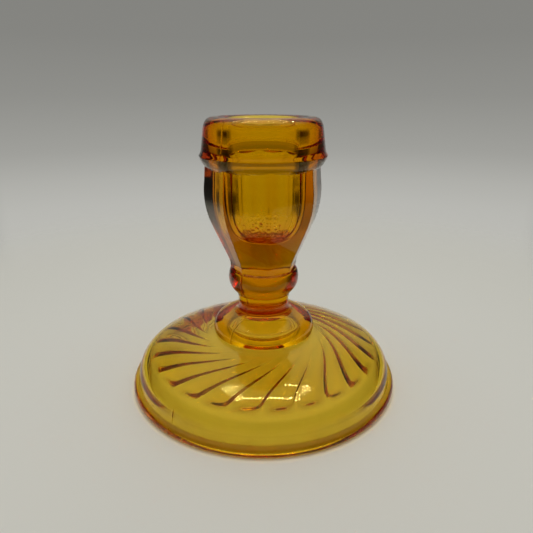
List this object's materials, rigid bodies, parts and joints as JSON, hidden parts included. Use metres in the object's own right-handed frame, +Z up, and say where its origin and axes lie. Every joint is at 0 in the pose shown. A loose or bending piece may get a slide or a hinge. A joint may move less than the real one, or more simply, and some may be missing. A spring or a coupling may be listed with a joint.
{
  "type": "glass candlestick",
  "caption": "Amber pressed-glass candlestick: a banded octagonal candle cup on a knopped stem and a hollow domed foot with swirling ribs pressed into its underside.",
  "frame": {"origin": "centre of the ring that it stands on, at the level of the table", "axes": "+Z up along the candle socket; a corner of the octagonal cup is 7 degrees round from -Y towards +X"},
  "size_m": [0.096, 0.096, 0.0936],
  "materials": {
    "amber_glass": "clear, fire-polished"
  },
  "bodies": {
    "root": {"foot_edge": "amber_glass", "foot_skirt": "amber_glass", "swirl_dome": "amber_glass", "boss": "amber_glass", "neck": "amber_glass", "knop": "amber_glass", "candle_cup": "amber_glass", "collar": "amber_glass"}
  },
  "joints": []
}
